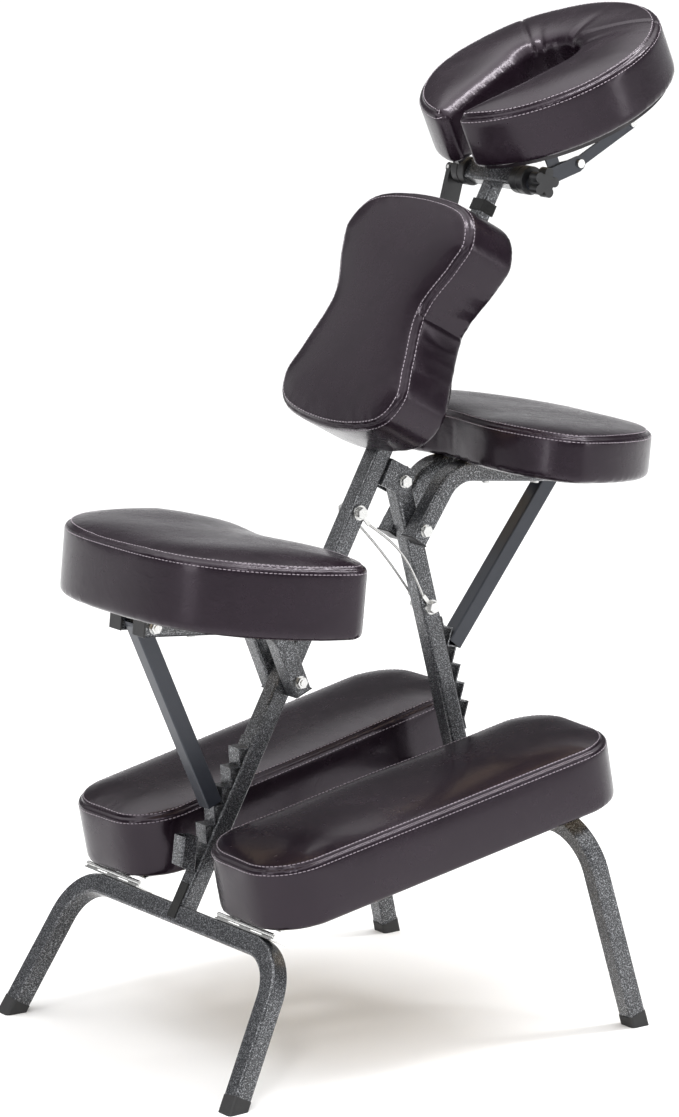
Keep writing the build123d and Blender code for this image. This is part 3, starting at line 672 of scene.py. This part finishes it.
def sew(name, rows):
    """Copies of one modelled stitch along the rows, as one piece."""
    look = bpy.context.scene.chair
    bpy.ops.object.select_all(action="DESELECT")
    bpy.ops.mesh.primitive_cylinder_add(vertices=6, radius=look.thread_width / 2, depth=look.stitch)
    pattern = bpy.context.object
    bpy.ops.object.mode_set(mode="EDIT")
    bpy.ops.mesh.select_mode(type="FACE")
    bpy.ops.mesh.select_all(action="SELECT")
    bpy.ops.mesh.bevel(offset=look.thread_width * 0.28, segments=1, affect="EDGES")
    bpy.ops.object.mode_set(mode="OBJECT")
    shape = [v.co.copy() for v in pattern.data.vertices]
    faces = [tuple(f.vertices) for f in pattern.data.polygons]
    bpy.data.objects.remove(pattern)
    verts = []
    polys = []
    for spot, way, normal in rows:
        side = normal.cross(way).normalized()
        up = way.cross(side).normalized()
        base = len(verts)
        for v in shape:
            sag = look.thread_width * (0.26 - 0.5 * (2 * v.z / look.stitch) ** 2)
            verts.append(spot + side * v.x + up * (v.y + sag) + way * v.z)
        polys.extend(tuple(base + i for i in f) for f in faces)
    mesh = bpy.data.meshes.new(name)
    mesh.from_pydata(verts, [], polys)
    mesh.validate()
    piece = bpy.data.objects.new(name, mesh)
    bpy.context.collection.objects.link(piece)
    for face in mesh.polygons:
        face.use_smooth = True
    give_finish(piece, "thread")
    return piece


def place_mesh(piece, matrix):
    piece.data.transform(matrix)
    piece.matrix_world = Matrix.Identity(4)


def make_pad(name, node, body, outline, thick, matrix, rim=PAD_RIM, dent=None, crown=0.0, joins=(),
             sewn=None):
    """One upholstered pad: cover, sunk seams and two rows of stitches."""
    look = bpy.context.scene.chair
    body_outline = shrunk(outline, PAD_INSET)
    top = thick - 0.001
    piece = slab(name, body_outline, top, rim, FOOT_RIM)
    remesh(piece, look.voxel)
    edge = KDTree(len(outline))
    for index, spot in enumerate(body_outline):
        edge.insert(spot, index)
    edge.balance()

    def firm(p):
        if p[2] < FOOT_HELD:
            return 1.0
        near = edge.find((p[0], p[1], 0))[2]
        seam = math.hypot(near - rim * 0.3, p[2] - (top - rim * 0.3))
        return max(0.0, 0.92 - seam / SEAM_HOLD)

    fill_pad(piece, firm, look.swell, look.pressure)
    if crown:
        points = coordinates(piece)
        wide = max(edge.find((p[0], p[1], 0))[2] for p in points[::7])
        for index, p in enumerate(points):
            if p[2] > thick * 0.5:
                depth = min(1.0, edge.find((p[0], p[1], 0))[2] / wide)
                points[index][2] += crown * (1 - (1 - depth) ** 2.2)
        set_coordinates(piece, points)
    refine(piece)
    if dent:
        points = coordinates(piece)
        for index, p in enumerate(points):
            points[index] += np.array(dent(p))
        set_coordinates(piece, points)
    tree = shape_tree(piece)
    ways = inward(body_outline)
    edge_points = [(p, w) for p, w in zip(body_outline, ways) if sewn is None or sewn(p)]
    across = [w.lerp(Vector((0, 0, -1)), 0.5).normalized() for p, w in edge_points]
    spots = [p + Vector((0, 0, top)) + w * rim * 0.3 for p, w in edge_points]
    seam = [hit[0] for hit in line_on(tree, spots, across)]
    dense = []
    for a, b in zip(seam, seam[1:] + seam[:1]):
        if (b - a).length < 0.03:
            dense.extend(a.lerp(b, k / 4) for k in range(4))
    sink_seam(piece, dense, look.seam_depth, SEAM_WIDTH)
    for starts, way in joins:
        landed = [hit[0] for hit in line_on(tree, starts, [way] * len(starts))]
        sink_seam(piece, landed, look.seam_depth, JOIN_WIDTH)
    tree = shape_tree(piece)
    rows = []
    down = [Vector((0, 0, -1))] * len(edge_points)
    upper = [p + w * (rim * 0.5 + ROW_OFFSET) + Vector((0, 0, top)) for p, w in edge_points]
    stitch_row(rows, line_on(tree, upper, down))
    lower = [p + Vector((0, 0, top - rim * 0.5 - ROW_OFFSET)) for p, w in edge_points]
    stitch_row(rows, line_on(tree, lower, [w for p, w in edge_points]))
    threads = sew(name + "_stitching", rows)
    only(piece)
    bpy.ops.object.shade_smooth()
    give_finish(piece, "vinyl")
    place_mesh(piece, matrix)
    place_mesh(threads, matrix)
    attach(piece, body)
    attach(threads, body)
    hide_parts(node)
    return piece


def waves(p, size, scale, seed):
    """A gentle repeatable ripple."""
    a = math.sin(p[0] * scale + seed) * math.cos(p[1] * scale * 1.3 + seed * 2.1)
    b = math.sin(p[1] * scale * 0.7 - p[2] * scale + seed * 0.7)
    return size * (a + 0.6 * b)


# ------------------------------------------------------------------ operators
class CHAIR_OT_seat_cushion(Operator):
    """Make the seat pad"""

    bl_idname = "chair.seat_cushion"
    bl_label = "Seat pad"

    def execute(self, context):
        turn, low, high = local_frame("seat_cushion", -SEAT_RISE)
        thick = high[2] - low[2]
        outline = kidney(ROUND_SIDE, HOLLOW_SIDE, high[1], HOLLOW, HOLLOW_WIDTH)
        outline = [Vector((-p.x, p.y, 0)) for p in outline][::-1]
        at = Matrix.Translation((low[0] + ROUND_SIDE, 0, low[2]))

        def dent(p):
            lift = waves(p, 0.0007, 26, 1.0) * min(1, max(0, p[2] / thick))
            return (0, 0, lift)

        make_pad("seat_cover", "seat_cushion", "seat", outline, thick, turn @ at, dent=dent, crown=0.007)
        return {"FINISHED"}


class CHAIR_OT_arm_cushion(Operator):
    """Make the arm rest's pad"""

    bl_idname = "chair.arm_cushion"
    bl_label = "Arm rest pad"

    def execute(self, context):
        turn, low, high = local_frame("arm_rest_cushion", ARM_RISE)
        thick = high[2] - low[2]
        outline = kidney(ROUND_SIDE, HOLLOW_SIDE, high[1], HOLLOW, HOLLOW_WIDTH)
        at = Matrix.Translation((high[0] - ROUND_SIDE, 0, low[2]))

        def dent(p):
            return (0, 0, waves(p, 0.0006, 24, 2.0) * min(1, max(0, p[2] / thick)))

        make_pad("arm_rest_cover", "arm_rest_cushion", "arm_rest", outline, thick, turn @ at, dent=dent,
                 crown=0.003)
        return {"FINISHED"}


class CHAIR_OT_knee_cushions(Operator):
    """Make the two knee pads"""

    bl_idname = "chair.knee_cushions"
    bl_label = "Knee pads"

    def execute(self, context):
        for word, side in (("right", -1), ("left", 1)):
            node = "knee_cushion_" + word
            turn, low, high = local_frame(node, KNEE_SLOPE, side * KNEE_TOE)
            thick = high[2] - low[2]
            outline = round_rectangle(*KNEE_PAD)
            at = Matrix.Translation(((low[0] + high[0]) / 2, (low[1] + high[1]) / 2, low[2]))
            seed = 3.0 + side

            def dent(p, seed=seed):
                return (0, 0, waves(p, 0.0007, 22, seed) * min(1, max(0, p[2] / thick)))

            body = "knee_pad_" + word
            make_pad("knee_cover_" + word, node, body, outline, thick, turn @ at, rim=BROAD_RIM, dent=dent,
                     crown=0.007)
        return {"FINISHED"}


class CHAIR_OT_chest_cushion(Operator):
    """Make the waisted chest pad"""

    bl_idname = "chair.chest_cushion"
    bl_label = "Chest pad"

    def execute(self, context):
        lean = Matrix.Rotation(SPINE_LEAN, 3, "Y")
        x_axis = lean @ Vector((0, 0, 1))
        z_axis = lean @ Vector((-1, 0, 0))
        y_axis = z_axis.cross(x_axis)
        turn = Matrix((x_axis, y_axis, z_axis)).transposed()
        mesh = frame["nodes"]["chest_cushion"].data
        points = np.empty(len(mesh.vertices) * 3)
        mesh.vertices.foreach_get("co", points)
        points = points.reshape(-1, 3) @ np.array(turn)
        low, high = points.min(0), points.max(0)
        thick = high[2] - low[2]
        at = Matrix.Translation(((low[0] + high[0]) / 2, 0, low[2]))
        outline = hourglass()

        def dent(p):
            x, y, z = p
            side = 1 - min(1, max(0, (z - 0.005) / (thick - 0.018)))
            waist = math.exp(-((x / 0.055) ** 2))
            fold = 0.0009 * math.sin(x * 170 + 9 * z) * waist * side * (1 if abs(y) > 0.06 else 0)
            return (0, -math.copysign(fold, y), waves(p, 0.0006, 24, 5.0) * (1 - side))

        joins = []
        for side in (-1, 1):
            starts = [Vector((0.004, side * 0.13, thick * (0.04 + 0.9 * k / 40))) for k in range(41)]
            joins.append((starts, Vector((0, -side, 0))))
        make_pad("chest_cover", "chest_cushion", "spine_frame", outline, thick, turn.to_4x4() @ at,
                 rim=BROAD_RIM, dent=dent, crown=0.004, joins=joins)
        return {"FINISHED"}


class CHAIR_OT_face_cushion(Operator):
    """Make the horseshoe face pad"""

    bl_idname = "chair.face_cushion"
    bl_label = "Face pad"

    def execute(self, context):
        turn, low, high = local_frame("face_cushion", CRADLE_TILT)
        thick = high[2] - low[2]
        radius = high[1]
        at = Matrix.Translation((high[0] - radius, 0, low[2]))
        outline = horseshoe(radius, MOUTH, FACE_HOLE, FACE_HOLE_AT)
        inner = KDTree(len(outline))
        for index, spot in enumerate(outline):
            inner.insert(spot if spot.length < radius - 0.008 else Vector((1, 1, 0)), index)
        inner.balance()

        def dent(p):
            x, y, z = p
            high_up = min(1, max(0, z / thick))
            dx, dy = x - FACE_HOLE_AT, y
            away = math.hypot(dx, dy) - FACE_HOLE
            angle = math.atan2(dy, dx)
            at_end = 1 if abs(angle) < 1.3 else 0
            tuck = max(0, math.cos(angle * 7)) ** 6 * math.exp(-max(0, away) / 0.022) * at_end
            far_half = min(1, max(0, (y + 0.01) / 0.05))
            roll = (0.0045 + 0.0035 * far_half) * math.exp(-((inner.find((x, y, 0))[2] / 0.009) ** 1.6))
            return (0, 0, (-0.0045 * tuck - roll + waves(p, 0.0006, 40, 7.0)) * high_up**3)

        def rim_only(p):
            return p.length > radius - 0.006

        ends = ((Vector((0.022, 0.036, thick)), Vector((0.091, 0.140, thick))),
                (Vector((0.055, -0.004, thick)), Vector((0.126, -0.110, thick))))
        joins = [([a.lerp(b, k / 60) for k in range(61)], Vector((0, 0, -1))) for a, b in ends]
        make_pad("face_cover", "face_cushion", "face_platform", outline, thick, turn @ at, rim=BROAD_RIM,
                 dent=dent, crown=0.003, sewn=rim_only, joins=joins)
        return {"FINISHED"}


class CHAIR_OT_cables(Operator):
    """Make the two wire ropes that stop the frame from opening"""

    bl_idname = "chair.cables"
    bl_label = "Cables"

    def execute(self, context):
        routes = {
            "cable_right": [
                (-0.03159, -0.0142, 0.62906), (-0.00714, -0.0142, 0.61198), (0.01838, -0.0142, 0.58896),
                (0.03907, -0.0142, 0.55846), (0.05257, -0.0142, 0.52877),
            ],
            "cable_left": [
                (-0.03159, 0.0142, 0.62906), (-0.01165, 0.0142, 0.6082), (0.01110, 0.0142, 0.58285),
                (0.03398, 0.0142, 0.55419), (0.05257, 0.0142, 0.52877),
            ],
        }
        for node, route in routes.items():
            curve = bpy.data.curves.new(node + "_rope", "CURVE")
            curve.dimensions = "3D"
            spline = curve.splines.new("NURBS")
            spline.points.add(len(route) - 1)
            for point, spot in zip(spline.points, route):
                point.co = (*spot, 1)
            spline.order_u = 3
            spline.use_endpoint_u = True
            spline.resolution_u = 24
            curve_piece = bpy.data.objects.new(node + "_rope", curve)
            bpy.context.collection.objects.link(curve_piece)
            smooth_line = curve_piece.evaluated_get(context.evaluated_depsgraph_get())
            centre = bpy.data.meshes.new_from_object(smooth_line)
            curve.bevel_depth = ROPE_RADIUS
            curve.bevel_resolution = 5
            curve.use_fill_caps = True
            only(curve_piece)
            bpy.ops.object.convert(target="MESH")
            rope = bpy.context.object
            give_finish(rope, "bright_steel")
            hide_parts(node)
            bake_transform(rope)
        return {"FINISHED"}


class CHAIR_OT_hardware(Operator):
    """Give the frame and every fitting its finish"""

    bl_idname = "chair.hardware"
    bl_label = "Frame and fittings"

    def execute(self, context):
        slots = {part["node"]: part["material_slot"] for part in frame["record"]["subparts"]}
        for node, piece in frame["nodes"].items():
            for index in range(max(1, len(piece.material_slots))):
                if not piece.material_slots:
                    piece.data.materials.append(None)
                piece.material_slots[index].material = finish_named(slots[node])
        slopes = {"seat_board": SEAT_RISE, "arm_rest_board": ARM_RISE, "platform_board": CRADLE_TILT}
        slopes.update({"knee_board_right": KNEE_SLOPE, "knee_board_left": KNEE_SLOPE})
        slopes["chest_board"] = math.radians(90) - SPINE_LEAN
        for node, slope in slopes.items():
            bare = BARE_EDGE if node == "platform_board" else NEVER_BARE
            finish = wrapped_board_finish("wrapped_" + node, slope, bare)
            for slot in frame["nodes"][node].material_slots:
                slot.material = finish
        return {"FINISHED"}


class CHAIR_OT_stage(Operator):
    """Make the floor, the lights and the camera"""

    bl_idname = "chair.stage"
    bl_label = "Stage"

    def execute(self, context):
        bpy.ops.object.select_all(action="DESELECT")
        bpy.ops.mesh.primitive_plane_add(size=90, location=(0, 0, 0))
        floor = context.object
        floor.name = "studio_floor"
        g = Graph("studio_floor")
        g.surface(Base_Color=(0.86, 0.86, 0.86, 1), Roughness=0.9, Specular_IOR_Level=0.1)
        floor.data.materials.append(g.material)

        world = bpy.data.worlds.new("studio")
        context.scene.world = world
        world.use_nodes = True
        tree = world.node_tree
        tree.nodes.clear()
        out = tree.nodes.new("ShaderNodeOutputWorld")
        glow = tree.nodes.new("ShaderNodeBackground")
        place = tree.nodes.new("ShaderNodeTexCoord")
        parts = tree.nodes.new("ShaderNodeSeparateXYZ")
        ramp = tree.nodes.new("ShaderNodeValToRGB")
        ramp.color_ramp.elements[0].position = 0.10
        ramp.color_ramp.elements[0].color = (0.25, 0.25, 0.255, 1)
        ramp.color_ramp.elements[1].position = 0.80
        ramp.color_ramp.elements[1].color = (1, 1, 1, 1)
        middle = ramp.color_ramp.elements.new(0.25)
        middle.color = (0.04, 0.04, 0.042, 1)
        low_sky = ramp.color_ramp.elements.new(0.55)
        low_sky.color = (0.08, 0.08, 0.08, 1)
        tree.links.new(place.outputs["Generated"], parts.inputs["Vector"])
        tree.links.new(parts.outputs["Z"], ramp.inputs["Fac"])
        tree.links.new(ramp.outputs["Color"], glow.inputs["Color"])
        glow.inputs["Strength"].default_value = SKY_STRENGTH
        tree.links.new(glow.outputs["Background"], out.inputs["Surface"])

        def panel(name, place_at, aim, size, power):
            light = bpy.data.lights.new(name, "AREA")
            light.shape = "RECTANGLE"
            light.size, light.size_y = size
            light.energy = power
            lamp = bpy.data.objects.new(name, light)
            context.collection.objects.link(lamp)
            lamp.location = place_at
            lamp.rotation_euler = (Vector(aim) - Vector(place_at)).to_track_quat("-Z", "Y").to_euler()

        panel("left_panel", (-2.9, -0.2, 1.5), (0, 0, 0.7), (0.5, 2.0), 16)
        panel("right_panel", (1.9, -2.8, 1.5), (0, 0, 0.7), (0.5, 2.0), 14)
        panel("chest_panel", (-1.3, 2.3, 2.0), (0, 0, 0.9), (1.8, 1.8), 7)
        panel("overhead_strip", (0.8, -0.3, 3.2), (0, 0, 0.5), (0.30, 2.6), 75)
        panel("camera_side_box", (-2.0, -2.0, 2.3), (0, 0, 0.8), (0.45, 0.6), 18)

        lens = bpy.data.cameras.new("view")
        lens.lens = CAMERA_LENS
        lens.sensor_fit = "VERTICAL"
        lens.sensor_height = 36
        lens.clip_end = 200
        camera = bpy.data.objects.new("view", lens)
        context.collection.objects.link(camera)
        camera.location = CAMERA_AT
        camera.rotation_euler = Vector(CAMERA_WAY).to_track_quat("-Z", "Y").to_euler()
        context.scene.camera = camera
        context.scene.view_settings.view_transform = "Standard"
        return {"FINISHED"}


class CHAIR_PT_panel(Panel):
    """Buttons that make the chair's pieces"""

    bl_label = "Massage chair"
    bl_idname = "CHAIR_PT_panel"
    bl_space_type = "VIEW_3D"
    bl_region_type = "UI"
    bl_category = "Massage chair"

    def draw(self, context):
        for name in ChairLook.__annotations__:
            self.layout.prop(context.scene.chair, name)
        for step in OPERATORS:
            self.layout.operator(step.bl_idname)


OPERATORS = (
    CHAIR_OT_stage,
    CHAIR_OT_hardware,
    CHAIR_OT_cables,
    CHAIR_OT_seat_cushion,
    CHAIR_OT_arm_cushion,
    CHAIR_OT_knee_cushions,
    CHAIR_OT_chest_cushion,
    CHAIR_OT_face_cushion,
)
CLASSES = (ChairLook, *OPERATORS, CHAIR_PT_panel)


def register():
    for item in CLASSES:
        bpy.utils.register_class(item)
    bpy.types.Scene.chair = PointerProperty(type=ChairLook)


def unregister():
    del bpy.types.Scene.chair
    for item in reversed(CLASSES):
        bpy.utils.unregister_class(item)


def main():
    register()
    for step in OPERATORS:
        group, name = step.bl_idname.split(".")
        getattr(getattr(bpy.ops, group), name)()


if __name__ == "__main__":
    main()
